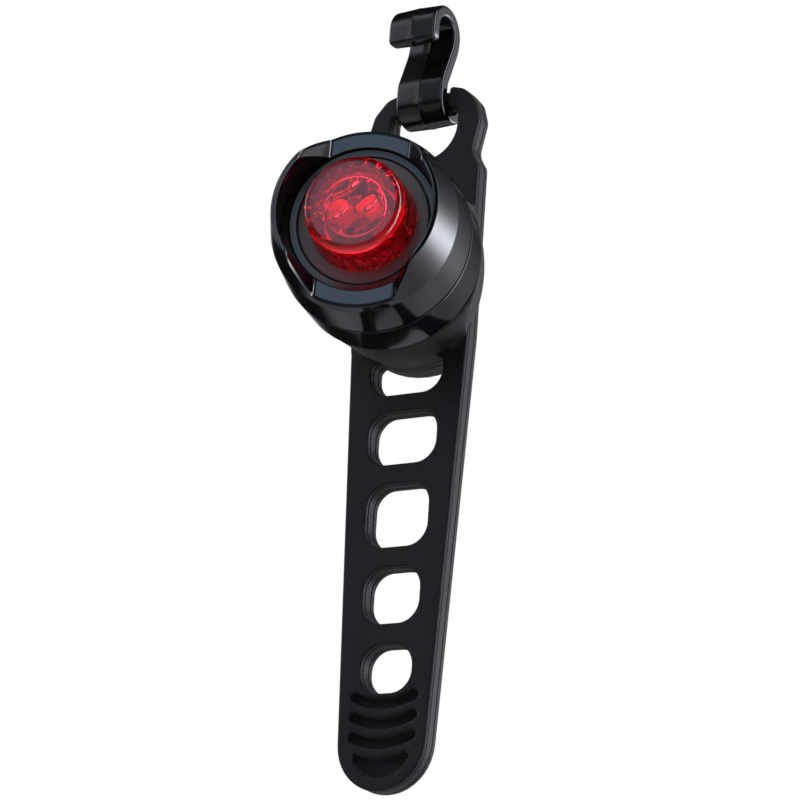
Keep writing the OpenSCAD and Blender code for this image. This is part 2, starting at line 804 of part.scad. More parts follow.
strap();
hook();
post_pad();
strap_retainer();
strap_screw();
base();
base_seal();
housing();
bezel_ring();
button_seal();
wave_spring();
button_ring();
lens();
reflector();
leds();
circuit_board();
controller_chip();
resistors();
switch_body();
switch_plunger();
cell_holder();
holder_screws();
front_cell();
rear_cell();
negative_contact();
positive_contact();
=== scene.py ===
"""Bicycle rear light on a rubber strap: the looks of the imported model."""
import math

import bmesh
import bpy
from mathutils import Matrix, Vector
from mathutils.geometry import delaunay_2d_cdt


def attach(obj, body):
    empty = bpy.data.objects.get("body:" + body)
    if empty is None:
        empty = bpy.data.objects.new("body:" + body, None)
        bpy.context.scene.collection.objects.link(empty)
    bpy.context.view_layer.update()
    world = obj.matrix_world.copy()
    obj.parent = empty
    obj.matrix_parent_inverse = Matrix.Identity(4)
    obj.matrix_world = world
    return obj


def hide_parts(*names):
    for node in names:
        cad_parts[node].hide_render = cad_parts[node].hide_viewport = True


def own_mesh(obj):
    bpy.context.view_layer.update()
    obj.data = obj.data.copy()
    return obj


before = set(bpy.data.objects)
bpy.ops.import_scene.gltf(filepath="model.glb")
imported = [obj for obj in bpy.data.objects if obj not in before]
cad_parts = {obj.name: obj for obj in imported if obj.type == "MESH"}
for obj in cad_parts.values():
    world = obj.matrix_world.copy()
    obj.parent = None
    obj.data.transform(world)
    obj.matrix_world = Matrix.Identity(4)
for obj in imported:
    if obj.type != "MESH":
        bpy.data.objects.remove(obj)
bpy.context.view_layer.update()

MM = 0.001

# Sizes in millimetres. The strap's outline and the fine edges differ a little from the CAD model's.
# The strap lies in the plane of x and z, with its front towards -y
STRAP_BACK, STRAP_FRONT = -14.6, -18.2
STRAP_HALF, TAPER_START, TAPER_BLEND = 11.85, 12.0, 40
TIP_HALF, STRAP_DROP, TIP_CORNER = 8.3, 92.15, 8.6
BAR_Y, BAR_Z, BAR_R, BAR_HALF = -16.4, 33.6, 1.8, 4.92
POST_R = 13.6

# First hole: half width, lower end, upper corners, and gap to the seat's circle
FIRST_HALF, FIRST_LOW, FIRST_HIGH, FIRST_GAP = 7.23, -21.75, -14.9, 0.25
# Half width, upper end and lower end of the other holes
HOLES = ((6.86, -25.0, -34.55), (6.22, -38.2, -49.5), (5.57, -53.15, -63.1), (4.99, -66.8, -75.3))
HOLE_CORNER = 3.9

# Grip grooves at the strap's tip, and each step down their walls as (inset, depth)
GRIP_FIRST, GRIP_PITCH, GRIP_R, GRIP_WIDTH = -78.1, 3.45, 15.0, 2.1
GRIP_MIDDLE = GRIP_R - GRIP_WIDTH / 2
GRIP_WALL = ((-0.1, 0.0), (0.02, 0.05), (0.1, 0.2), (0.14, 0.9), (0.23, 1.5), (0.5, 1.65))

# Seat that carries the lamp, leaning to one side
SEAT_LEAN, SEAT_FLARE = math.radians(17.5), math.radians(25)
SEAT_R, SEAT_HALF, SEAT_SIDE_R = 16.5, 12.5, 27.0
# The seat's back lies just inside the strap's, so that no two faces share a plane when they are joined
SEAT_BACK = STRAP_BACK - 0.07

# Lamp: radii from its axis and heights from the seam between base and housing
BASE_REAR_Y, BASE_H = -27.0, 10.0
LAMP_R, CREASE_R, EAR_R = 17.0, 16.35, 14.4
CREASE_H, FRONT_H, EAR_H = 8.1, 9.5, 15.6
EAR_TURN = math.radians(-2.3)
FLAT_HALF, RAMP = 6.9, 3.85
CHAMFER_W, CHAMFER_FLAT, CHAMFER_EAR = 0.6, math.radians(14), math.radians(20)
WELL_R, WELL_TOP_R, BEZEL_TOP = 12.85, 13.55, 8.75
CAVITY_R, SEAL_BORE_R = 14.6, 10.6
WEB_BOTTOM, WEB_TOP, RIM_BOTTOM = 4.6, 6.2, 7.3
SEAM_H, SEAM_DEPTH = 0.36, 0.6

# Lens: its foot, the flange that it rests on, its front, and the fluted hollow behind that
LENS_FOOT, LENS_FLANGE, LENS_TOP, LENS_CROWN = 7.55, 8.85, 16.75, 0.12
HOLLOW_R, HOLLOW_TOP = 7.4, 14.3
# The hollow's waves lie this much higher, so that the pressed lens clears the LEDs
LED_ROOM = 0.36

LEAN_C, LEAN_S = math.cos(SEAT_LEAN), math.sin(SEAT_LEAN)
LAMP = Matrix((
    (LEAN_C, 0, LEAN_S, BASE_H * LEAN_S),
    (LEAN_S, 0, -LEAN_C, BASE_REAR_Y - BASE_H * LEAN_C),
    (0, 1, 0, 0),
    (0, 0, 0, 1),
))


# ---------------------------------------------------------------- outlines
def corner(a, p, b, r, steps):
    """Points of one rounded corner at p, between its neighbours a and b."""
    if r <= 0:
        return [p.copy()]
    u, v = (a - p).normalized(), (b - p).normalized()
    half = math.acos(max(-1.0, min(1.0, u.dot(v)))) / 2
    centre = p + (u + v).normalized() * (r / math.sin(half))
    reach = r / math.tan(half)
    first, last = p + u * reach - centre, p + v * reach - centre
    start = math.atan2(first.y, first.x)
    sweep = (math.atan2(last.y, last.x) - start + 3 * math.pi) % (2 * math.pi) - math.pi
    turns = [start + sweep * i / steps for i in range(steps + 1)]
    return [centre + Vector((math.cos(t), math.sin(t))) * r for t in turns]


def rounded(path, steps=10):
    """Closed outline through points given as (x, y, corner radius)."""
    at = [Vector(p[:2]) for p in path]
    out = []
    for i, p in enumerate(at):
        out += corner(at[i - 1], p, at[(i + 1) % len(at)], path[i][2], steps)
    return out


def quarter(steps):
    """A quarter round of radius 1 as (1 - sine, 1 - cosine), from 0 to 90 degrees."""
    turns = [math.pi / 2 * k / steps for k in range(steps + 1)]
    return [(1 - math.sin(a), 1 - math.cos(a)) for a in turns]


def smooth(low, high, v):
    """Eases from 0 at low to 1 at high."""
    t = max(0.0, min(1.0, (v - low) / (high - low)))
    return t * t * (3 - 2 * t)


def bezier(a, p, b, steps=4):
    """Points of a soft corner from a to b, drawn towards p."""
    out = []
    for k in range(steps + 1):
        t = k / steps
        out.append(a * (1 - t) ** 2 + p * (2 * t * (1 - t)) + b * t * t)
    return out


def area(loop):
    """Area inside a loop, positive if it runs anticlockwise."""
    return sum(loop[i - 1].x * p.y - p.x * loop[i - 1].y for i, p in enumerate(loop)) / 2


def refined(loop, step):
    """The loop with its long edges split, and without doubled points."""
    clean = [p for i, p in enumerate(loop) if (p - loop[i - 1]).length > 1e-5]
    out = []
    for i, p in enumerate(clean):
        q = clean[(i + 1) % len(clean)]
        parts = max(1, math.ceil((q - p).length / step))
        out += [p.lerp(q, k / parts) for k in range(parts)]
    return out


def inset(loop, d):
    """The loop moved to its left by d, which is into the material."""
    out = []
    n = len(loop)
    for i, p in enumerate(loop):
        a, b = (p - loop[i - 1]).normalized(), (loop[(i + 1) % n] - p).normalized()
        na, nb = Vector((-a.y, a.x)), Vector((-b.y, b.x))
        mid = (na + nb).normalized()
        out.append(p + mid * (d / max(0.5, mid.dot(na))))
    return out


def contains(loop, p):
    """Whether the point lies inside the loop."""
    hit = False
    for i, b in enumerate(loop):
        a = loop[i - 1]
        if (a.y > p.y) != (b.y > p.y) and p.x < (b.x - a.x) * (p.y - a.y) / (b.y - a.y) + a.x:
            hit = not hit
    return hit


def fill(loops, holes):
    """Triangles between closed loops of (index, point), leaving the holes open."""
    points, names, edges = [], [], []
    for loop in loops:
        first = len(points)
        for k, (name, p) in enumerate(loop):
            points.append(p)
            names.append(name)
            edges.append((first + k, first + (k + 1) % len(loop)))
    found = delaunay_2d_cdt(points, edges, [], 1, 1e-6)
    crossed = [tuple(p) for p, o in zip(found[0], found[3]) if not o]
    if crossed:
        raise ValueError(f"outlines cross at {crossed}")
    source = [names[o[0]] for o in found[3]]
    faces = []
    for face in found[2]:
        middle = sum((found[0][i] for i in face), Vector((0, 0))) / len(face)
        if not any(contains(h, middle) for h in holes):
            faces.append([source[i] for i in face])
    return faces


# ---------------------------------------------------------------- meshes
def piece(name, verts, faces, material, sharp=35, matrix=None):
    """A smooth mesh object from points in millimetres."""
    mesh = bpy.data.meshes.new(name)
    mesh.from_pydata([Vector(v) for v in verts], [], faces)
    if matrix is not None:
        mesh.transform(matrix)
    mesh.transform(Matrix.Scale(MM, 4))
    mesh.validate()
    mesh.materials.append(material)
    obj = bpy.data.objects.new(name, mesh)
    bpy.context.scene.collection.objects.link(obj)
    finish_shading(obj, sharp)
    return obj


def finish_shading(obj, sharp):
    """Smooth shading, broken at edges over an angle in degrees."""
    mesh = obj.data
    mesh.shade_smooth()
    mesh.set_sharp_from_angle(angle=math.radians(sharp))


def weighted(obj):
    """Lets large faces shade flat beside small roundings."""
    mod = obj.modifiers.new("weighted", "WEIGHTED_NORMAL")
    mod.keep_sharp = True
    mod.weight = 80


def outward(obj):
    """Turns all faces of closed shells outward."""
    bm = bmesh.new()
    bm.from_mesh(obj.data)
    bmesh.ops.recalc_face_normals(bm, faces=bm.faces)
    bm.to_mesh(obj.data)
    bm.free()


def boolean(obj, other, operation):
    """Joins or cuts obj with another mesh, which is then removed."""
    mod = obj.modifiers.new("boolean", "BOOLEAN")
    mod.operation, mod.object, mod.solver = operation, other, "EXACT"
    depsgraph = bpy.context.evaluated_depsgraph_get()
    mesh = bpy.data.meshes.new_from_object(obj.evaluated_get(depsgraph))
    obj.modifiers.clear()
    obj.data = mesh
    bpy.data.objects.remove(other)


def grid_faces(rows, columns, wrap_rows=False):
    """Quads of a grid whose point (i, j) is i * columns + j. Its columns run round and close."""
    faces = []
    for i in range(rows if wrap_rows else rows - 1):
        k = (i + 1) % rows
        for j in range(columns):
            m = (j + 1) % columns
            faces.append((i * columns + j, i * columns + m, k * columns + m, k * columns + j))
    return faces


def end_caps(verts, columns, n):
    """Faces that close the first and the last column of n points, seen along x."""
    faces = []
    for first in (0, (columns - 1) * n):
        ring = [(i, Vector(verts[i][1:])) for i in range(first, first + n)]
        outline = [p for _, p in ring]
        for face in fill([ring], []):
            middle = sum((Vector(verts[i][1:]) for i in face), Vector((0, 0))) / len(face)
            if contains(outline, middle):
                faces.append(face)
    return faces


def turned_profile(path, steps=4):
    """Closed profile of (radius, height) points from (radius, height, corner radius)."""
    return [(p.x, p.y) for p in rounded(path, steps)]


def lathe(name, profile, material, segments=192):
    """A turned ring about the lamp's axis from a closed profile of (radius, height) points."""
    n = len(profile)
    verts = []
    for j in range(segments):
        t = 2 * math.pi * j / segments
        verts += [(r * math.cos(t), r * math.sin(t), h) for r, h in profile]
    obj = piece(name, verts, grid_faces(segments, n, wrap_rows=True), material, matrix=LAMP)
    outward(obj)
    return obj


# ---------------------------------------------------------------- materials
class Nodes:
    """Short calls for building one material's node tree."""

    def __init__(self, name):
        self.material = bpy.data.materials.new(name)
        self.material.use_nodes = True
        self.tree = self.material.node_tree
        self.shader = self.tree.nodes["Principled BSDF"]
        self.output = self.tree.nodes["Material Output"]

    def add(self, kind, inputs=None, **settings):
        """A new node with its settings, and with values or links for its inputs."""
        node = self.tree.nodes.new("ShaderNode" + kind)
        for key, value in settings.items():
            setattr(node, key, value)
        for key, value in (inputs or {}).items():
            if isinstance(value, bpy.types.NodeSocket):
                self.tree.links.new(value, node.inputs[key])
            else:
                node.inputs[key].default_value = value
        return node

    def set(self, **values):
        """Values or links for the main shader's inputs."""
        for key, value in values.items():
            socket = self.shader.inputs[key.replace("_", " ")]
            if isinstance(value, bpy.types.NodeSocket):
                self.tree.links.new(value, socket)
            else:
                socket.default_value = value

    def place(self):
        """The object's own coordinates, in metres."""
        return self.add("TexCoord").outputs["Object"]

    def noise(self, scale, detail=4, vector=None, roughness=0.55):
        node = self.add("TexNoise", {"Scale": scale, "Detail": detail, "Roughness": roughness})
        self.tree.links.new(vector or self.place(), node.inputs["Vector"])
        return node.outputs["Fac"]

    def ramp(self, value, stops):
        """Colour or grey between stops of (position, colour)."""
        node = self.add("ValToRGB", {"Fac": value})
        ramp = node.color_ramp
        while len(ramp.elements) < len(stops):
            ramp.elements.new(0.5)
        for element, (at, colour) in zip(ramp.elements, stops):
            element.position = at
            element.color = (*colour, 1) if isinstance(colour, tuple) else (colour, colour, colour, 1)
        return node.outputs["Color"]

    def span(self, value, low, high):
        """The value spread from low to high."""
        return self.add("MapRange", {"Value": value, "To Min": low, "To Max": high}).outputs["Result"]

    def bump(self, height, distance, strength=1.0):
        node = self.add("Bump", {"Height": height, "Distance": distance, "Strength": strength})
        self.set(Normal=node.outputs["Normal"])

    def lathe_marks(self, scale):
        """Noise that only changes along and across the lamp's axis."""
        inverse = LAMP.inverted()
        origin = LAMP.translation * MM
        shift = self.add("VectorMath", {0: self.place(), 1: origin}, operation="SUBTRACT")
        parts = []
        for k in range(3):
            inputs = {0: shift.outputs["Vector"], 1: inverse[k][:3]}
            dot = self.add("VectorMath", inputs, operation="DOT_PRODUCT")
            parts.append(dot.outputs["Value"])
        flat = self.add("CombineXYZ", {"X": parts[0], "Y": parts[1]})
        radius = self.add("VectorMath", {0: flat.outputs["Vector"]}, operation="LENGTH")
        mix = self.add("CombineXYZ", {"X": parts[2], "Y": radius.outputs["Value"]})
        return self.noise(scale, 3, mix.outputs["Vector"])


def rubber(name, dark, light, rough):
    """Matt rubber with a fine grain and a soft sheen."""
    n = Nodes(name)
    patch = n.noise(90, 5)
    grain = n.noise(2600, 3)
    n.set(
        Base_Color=n.ramp(patch, [(0.3, dark), (0.7, light)]),
        Roughness=n.span(n.noise(700, 4), rough - 0.07, rough + 0.07),
        Specular_IOR_Level=0.15,
        Sheen_Weight=0.07,
        Sheen_Roughness=0.45,
    )
    n.bump(grain, 0.0001, 0.8)
    return n.material


def gloss_plastic(name, dark, light, rough):
    """Smooth moulded plastic."""
    n = Nodes(name)
    n.set(
        Base_Color=n.ramp(n.noise(160, 4), [(0.3, dark), (0.7, light)]),
        Roughness=n.span(n.noise(1400, 6), rough - 0.03, rough + 0.05),
        Specular_IOR_Level=0.5,
    )
    n.bump(n.noise(420, 3), 0.000012, 0.5)
    return n.material


def anodised(name, dark, light, rough, mark):
    """Dark anodised metal with fine turning marks of a given depth."""
    n = Nodes(name)
    lines = n.lathe_marks(9000)
    n.set(
        Base_Color=n.ramp(n.noise(120, 3), [(0.3, dark), (0.7, light)]),
        Roughness=n.span(lines, rough - 0.05, rough + 0.06),
        Specular_IOR_Level=0.55,
    )
    n.bump(lines, mark, 0.6)
    return n.material


def metal(name, dark, light, rough, scale=900):
    """Bare metal with a fine unevenness."""
    n = Nodes(name)
    n.set(
        Base_Color=n.ramp(n.noise(scale, 5), [(0.3, dark), (0.7, light)]),
        Metallic=1.0,
        Roughness=n.span(n.noise(scale * 3, 4), rough - 0.06, rough + 0.08),
    )
    n.bump(n.noise(scale * 5, 3), 0.000006, 0.5)
    return n.material


def matt(name, dark, light, rough):
    """Plain matt plastic or board."""
    n = Nodes(name)
    n.set(
        Base_Color=n.ramp(n.noise(800, 5), [(0.3, dark), (0.7, light)]),
        Roughness=n.span(n.noise(2400, 4), rough - 0.08, rough + 0.08),
    )
    n.bump(n.noise(4000, 3), 0.00001, 0.5)
    return n.material


def clear_red(name):
    """Clear red plastic that lets red light through where it would cast a shadow."""
    n = Nodes(name)
    n.set(
        Base_Color=(0.82, 0.014, 0.032, 1),
        Roughness=n.span(n.noise(900, 4), 0.01, 0.05),
        Transmission_Weight=0.94,
        IOR=1.49,
        Specular_IOR_Level=0.2,
    )
    n.bump(n.noise(260, 2), 0.00001, 0.5)
    through = n.add("BsdfTransparent", {"Color": (0.95, 0.12, 0.14, 1)})
    rays = n.add("LightPath")
    mix = n.add("MixShader", {
        0: rays.outputs["Is Shadow Ray"], 1: n.shader.outputs["BSDF"], 2: through.outputs["BSDF"],
    })
    n.tree.links.new(mix.outputs["Shader"], n.output.inputs["Surface"])
    return n.material


STRAP = rubber("strap_rubber", (0.0052, 0.0053, 0.0062), (0.0076, 0.0077, 0.0088), 0.48)
HOOK = gloss_plastic("hook_plastic", (0.0022, 0.0022, 0.0028), (0.0038, 0.0038, 0.0046), 0.15)
ALLOY = anodised("black_alloy", (0.0010, 0.0012, 0.0018), (0.0018, 0.0021, 0.0029), 0.1, 0.000002)
BEZEL = anodised("bezel_alloy", (0.012, 0.0125, 0.014), (0.018, 0.0185, 0.020), 0.22, 0.000004)
BUTTON = gloss_plastic("button_plastic", (0.036, 0.030, 0.026), (0.046, 0.039, 0.034), 0.4)
LENS = clear_red("lens_red")
SEAL = rubber("seal_rubber", (0.02, 0.02, 0.021), (0.03, 0.03, 0.032), 0.6)
BRIGHT = metal("bright_trim", (0.86, 0.86, 0.87), (0.94, 0.94, 0.95), 0.12, 500)
STEEL = metal("steel", (0.5, 0.51, 0.53), (0.66, 0.67, 0.69), 0.3)
EPOXY = gloss_plastic("led_epoxy", (0.82, 0.76, 0.76), (0.92, 0.88, 0.88), 0.12)
BOARD = matt("board_green", (0.02, 0.15, 0.06), (0.035, 0.22, 0.09), 0.4)
CHIP = matt("chip_black", (0.02, 0.02, 0.021), (0.035, 0.035, 0.037), 0.55)
HOLDER = matt("holder_plastic", (0.05, 0.05, 0.054), (0.07, 0.07, 0.075), 0.45)
BRASS = metal("contact_brass", (0.6, 0.43, 0.17), (0.76, 0.58, 0.27), 0.28)


# ---------------------------------------------------------------- strap
def mirrored(path):
    """The path followed by its mirror image, so that both sides close an outline."""
    return path + [(-x, z, r) for x, z, r in reversed(path)]


def strap_loops():
    """Outlines of the strap and its holes. The points of a path are (x, z, corner radius)."""
    # up the side from the tip, over the loop's horn and down inside the loop
    outer = mirrored([
        (TIP_HALF, -STRAP_DROP, TIP_CORNER), (STRAP_HALF, -TAPER_START, TAPER_BLEND),
        (STRAP_HALF, 19.9, 2.5), (10.2, 22.8, 3), (11.5, 28.8, 3), (10.5, 32.4, 3), (8.0, 35.2, 3),
        (BAR_HALF, 36.1, 0.62), (BAR_HALF, 31.7, 0.85), (6.9, 31.7, 0.6), (6.9, 22.4, 6.2),
    ])
    gap_r = SEAT_R - FIRST_GAP
    arc = [gap_r * math.sin(math.radians(a)) for a in range(-15, 16, 5)]
    top = [(x, -math.sqrt(gap_r ** 2 - x * x), 0) for x in reversed(arc)]
    side = [(FIRST_HALF, FIRST_LOW, HOLE_CORNER), (FIRST_HALF, FIRST_HIGH, 1.7)]
    holes = [side + top + mirrored(side)[len(side):]]
    for half, high, low in HOLES:
        holes.append(mirrored([(half, low, HOLE_CORNER), (half, high, HOLE_CORNER)]))
    return refined(rounded(outer), 1.0), [refined(rounded(h), 0.8)[::-1] for h in holes]


def on_grip(top, t, r):
    """Point at an angle t on a grip curve of radius r, whose centre is at the height top."""
    return Vector((r * math.sin(t), top - r * math.cos(t)))


def cap_direction(t, c):
    """Direction in a groove's rounded end: from towards the curve's centre, round by c."""
    inwards = Vector((-math.sin(t), math.cos(t)))
    along = Vector((math.cos(t), math.sin(t)))
    return inwards * math.cos(c) + along * math.sin(c)


def groove(top):
    """Outline of a curved groove with round ends."""
    half_length, half = 5.75, GRIP_WIDTH / 2
    end = math.asin(half_length / GRIP_MIDDLE)
    turns = [end * k / 12 for k in range(-12, 13)]
    caps = [math.pi * k / 10 for k in range(1, 10)]
    right, left = on_grip(top, end, GRIP_MIDDLE), on_grip(top, -end, GRIP_MIDDLE)
    loop = [on_grip(top, t, GRIP_MIDDLE - half) for t in turns]
    loop += [right + cap_direction(end, c) * half for c in caps]
    loop += [on_grip(top, t, GRIP_MIDDLE + half) for t in reversed(turns)]
    loop += [left + cap_direction(-end, math.pi + c) * half for c in caps]
    return loop


def half_moon(top):
    """Outline of the lowest hollow: the grooves' curve above, the tip's curve below."""
    upper_half, side, side_z, side_corner = 4.5, 6.3, -84.5, 0.9
    lower_r, lower_z = 6.4, -83.65
    turns = [math.asin(upper_half / GRIP_MIDDLE) * k / 10 for k in range(-10, 11)]
    path = [(*on_grip(top, t, GRIP_MIDDLE - GRIP_WIDTH / 2), 0) for t in turns]
    path.append((side, side_z, side_corner))
    for a in range(30, 151, 8):
        t = math.radians(-a)
        path.append((lower_r * math.cos(t), lower_z + lower_r * math.sin(t), 0))
    path.append((-side, side_z, side_corner))
    return rounded(path, 6)


def grip_loops():
    """Nested outlines of the grip hollows at the tip, each with its depth."""
    groups = []
    for i in range(4):
        top = GRIP_FIRST - GRIP_PITCH * i + GRIP_R
        loop = refined(groove(top) if i < 3 else half_moon(top), 0.45)
        loop = loop if area(loop) > 0 else loop[::-1]
        groups.append([(inset(loop, d), depth) for d, depth in GRIP_WALL])
    return groups


def rim(edge_front, edge_back, draft):
    """Section of the strap's edge as (inset, y), from the front face over two fine grooves to the back."""
    shoulder, line = STRAP_FRONT + 0.78, STRAP_FRONT + 2.45
    rows = [(edge_front + 0.1, STRAP_FRONT)]
    rows += [(edge_front * s, STRAP_FRONT + edge_front * c) for s, c in quarter(4)]
    rows += [(0.0, shoulder - 0.13), (0.13, shoulder), (draft * 0.25, shoulder + 0.14)]
    rows += [(draft * 0.7, line - 0.16), (draft * 0.7 + 0.17, line), (draft * 0.7, line + 0.16)]
    rows += [(draft + edge_back * c, STRAP_BACK - edge_back * s) for s, c in quarter(4)]
    return rows + [(draft + edge_back + 0.18, STRAP_BACK)]


def flat_ring(verts, first, n):
    """A row of n points as (index, place in the strap's plane)."""
    return [(i, Vector((verts[i][0], verts[i][2]))) for i in range(first, first + n)]


def within(ring, faces, verts):
    """Only those faces whose middle lies inside the ring."""
    outline = [p for _, p in ring]
    kept = []
    for face in faces:
        x = sum(verts[i][0] for i in face) / len(face)
        z = sum(verts[i][2] for i in face) / len(face)
        if contains(outline, Vector((x, z))):
            kept.append(face)
    return kept


def build_strap():
    """The flat strap, with its holes and grip hollows."""
    outer, holes = strap_loops()
    verts, faces = [], []
    fronts, backs = [], []
    for number, loop in enumerate([outer] + holes):
        rows = rim(0.4, 0.25, -0.05) if number == 0 else rim(0.3, 0.2, -0.25)
        first = len(verts)
        n = len(loop)
        for d, y in rows:
            verts += [(p.x, y, p.y) for p in inset(loop, d)]
        faces += [tuple(first + i for i in f) for f in grid_faces(len(rows), n)]
        fronts.append(flat_ring(verts, first, n))
        backs.append(flat_ring(verts, first + (len(rows) - 1) * n, n))
    grips = []
    for group in grip_loops():
        for loop, depth in group:
            first = len(verts)
            verts += [(p.x, STRAP_FRONT + depth, p.y) for p in loop]
            grips.append([(first + k, p) for k, p in enumerate(loop)])
    open_front = [[p for _, p in ring] for ring in fronts[1:]]
    open_back = [[p for _, p in ring] for ring in backs[1:]]
    faces += within(fronts[0], fill(fronts + grips, open_front), verts)
    faces += within(backs[0], fill(backs, open_back), verts)
    obj = piece("strap_body_rubber", verts, faces, STRAP)
    outward(obj)
    return obj


def seat_radius(angle, y):
    """Distance from the middle to the seat's wall, at an angle in the strap's plane."""
    c, s = abs(math.cos(angle)), math.sin(angle)
    low, high = 5.0, SEAT_R
    for _ in range(24):
        r = (low + high) / 2
        z = r * s
        bulge = (math.sqrt(SEAT_SIDE_R ** 2 - z * z) - SEAT_SIDE_R) / math.cos(SEAT_FLARE)
        side = SEAT_HALF + bulge + math.tan(SEAT_FLARE) * (STRAP_BACK - y)
        if r * c < side:
            low = r
        else:
            high = r
    side_r = (low + high) / 2
    blend = 0.6
    h = max(blend - abs(side_r - SEAT_R), 0) / blend
    return min(side_r, SEAT_R) - h * h * blend / 4


def plane_y(x):
    """The seat's leaning front face."""
    return BASE_REAR_Y + math.tan(SEAT_LEAN) * x


def fillet_reach(t, size):
    """Reach of the fillet at the seat's foot: none at the sides or over a hole, and none past the strap."""
    c, s = math.cos(t), math.sin(t)
    foot = abs(seat_radius(t, STRAP_FRONT) * c)
    room = max(0.0, STRAP_HALF - 0.1 - foot) / max(0.2, abs(c))
    clear = 1 if s > 0 else smooth(7.9, 9.2, foot)
    return min(clear * size, room) if abs(s) > 0.4 else 0


def build_seat():
    """The leaning seat, in rows round it from the strap's back to the lamp."""
    columns = 200
    edge, fillet, back_edge = 0.9, 1.3, 0.4
    near, root = STRAP_FRONT + 0.02, STRAP_BACK - 0.6
    rows = [("back", back_edge * s, back_edge * c) for s, c in quarter(3)]
    rows += [("root", f, 0) for f in (0.0, 0.5, 1.0)]
    rows += [("fillet", fillet * c, fillet * s) for s, c in quarter(6)]
    rows += [("wall", f, 0) for f in (0.35, 0.6, 0.8)]
    rows += [("edge", edge * c, edge * s) for s, c in quarter(5)]
    verts = []
    for kind, p, q in rows:
        for j in range(columns):
            t = 2 * math.pi * j / columns
            c, s = math.cos(t), math.sin(t)
            front = BASE_REAR_Y
            for _ in range(6):
                front = plane_y(seat_radius(t, front) * c)
            extra = 0
            if kind == "back":
                y, extra = SEAT_BACK - q, -p
            elif kind == "root":
                y = root + (near + 0.4 - root) * p
            elif kind == "fillet":
                y, extra = near - p, fillet_reach(t, q)
            elif kind == "wall":
                y = near - fillet + (front + edge - near + fillet) * p
            else:
                y, extra = front + q, -p
            if kind in ("wall", "edge"):
                y = min(y, near - fillet - 0.001)
            r = seat_radius(t, y) + extra
            verts.append((r * c, y, r * s))
    faces = grid_faces(len(rows), columns)
    for row, y in ((0, SEAT_BACK), (len(rows) - 1, BASE_REAR_Y)):
        ring = [row * columns + j for j in range(columns)]
        centre = len(verts)
        verts.append((0, y, 0))
        faces += [(centre, ring[j], ring[(j + 1) % columns]) for j in range(columns)]
    obj = piece("seat_rubber", verts, faces, STRAP)
    outward(obj)
    return obj


def build_bar():
    """Round bar across the loop, with its ends sunk into the horns."""
    n, end_r = 48, 1.79
    right = [3, BAR_HALF - 0.25, BAR_HALF + 0.15, BAR_HALF + 1.2]
    xs = [-x for x in reversed(right)] + [0] + right
    verts = []
    for x in xs:
        r = end_r if abs(x) > BAR_HALF else BAR_R
        for k in range(n):
            t = 2 * math.pi * k / n
            verts.append((x, BAR_Y + r * math.cos(t), BAR_Z + r * math.sin(t)))
    last = (len(xs) - 1) * n
    faces = grid_faces(len(xs), n) + [tuple(range(n)), tuple(range(last, last + n))]
    obj = piece("loop_bar", verts, faces, STRAP)
    outward(obj)
    return obj


strap = build_strap()
boolean(strap, build_seat(), "UNION")
boolean(strap, build_bar(), "UNION")
strap.data.materials.clear()
strap.data.materials.append(STRAP)
finish_shading(strap, 40)
weighted(strap)


# ---------------------------------------------------------------- hook
def hook_outline():
    """Side view of the hook about the bar's axis, as (y, z), with the back to the right."""
    lean, length, thick = math.radians(22), 6.2, 2.2
    knee_r, knee_z, back_r, bend_r, lip_drop = 2.8, 2.0, 10.0, 2.6, 2.4
    gap, mouth = 0.08, 0.13
    inner = BAR_R + gap
    outer = inner + thick
    along = Vector((math.sin(lean), math.cos(lean)))
    forward = Vector((-math.cos(lean), math.sin(lean)))
    knee = Vector((knee_r - inner, knee_z))
    back = knee + along * length + forward * (knee_r + back_r)
    bend = back + Vector((back_r - thick - bend_r, 0))
    end = math.pi + math.radians(220)

    def arc(centre, r, a, b):
        steps = max(4, math.ceil(abs(b - a) / math.radians(6)))
        turns = [a + (b - a) * k / steps for k in range(steps + 1)]
        return [centre + Vector((math.cos(t), math.sin(t))) * r for t in turns]

    o = Vector((0, 0))
    tip = Vector((math.cos(end), math.sin(end))) * (inner + thick / 2)
    path = arc(o, outer, end, math.pi)
    path += arc(knee, knee_r + thick, math.pi, math.pi - lean)
    path += arc(back, back_r - thick, -lean, 0)
    path += arc(bend, bend_r, 0, math.pi)
    path += arc(bend - Vector((bend_r + thick / 2, lip_drop)), thick / 2, 0, -math.pi)
    path += arc(bend, bend_r + thick, math.pi, 0)
    path += arc(back, back_r, 0, -lean)
    path += arc(knee, knee_r, math.pi - lean, math.pi)
    path += arc(o, inner, math.pi, end)
    path += arc(tip, thick / 2, end + math.pi - mouth, end + mouth)
    loop = refined(path, 0.7)
    return loop if area(loop) > 0 else loop[::-1]


# Rounded corners of the hook's lip, which is the part in front of LIP_Y
LIP_CORNER, LIP_Y = 1.5, -5.6


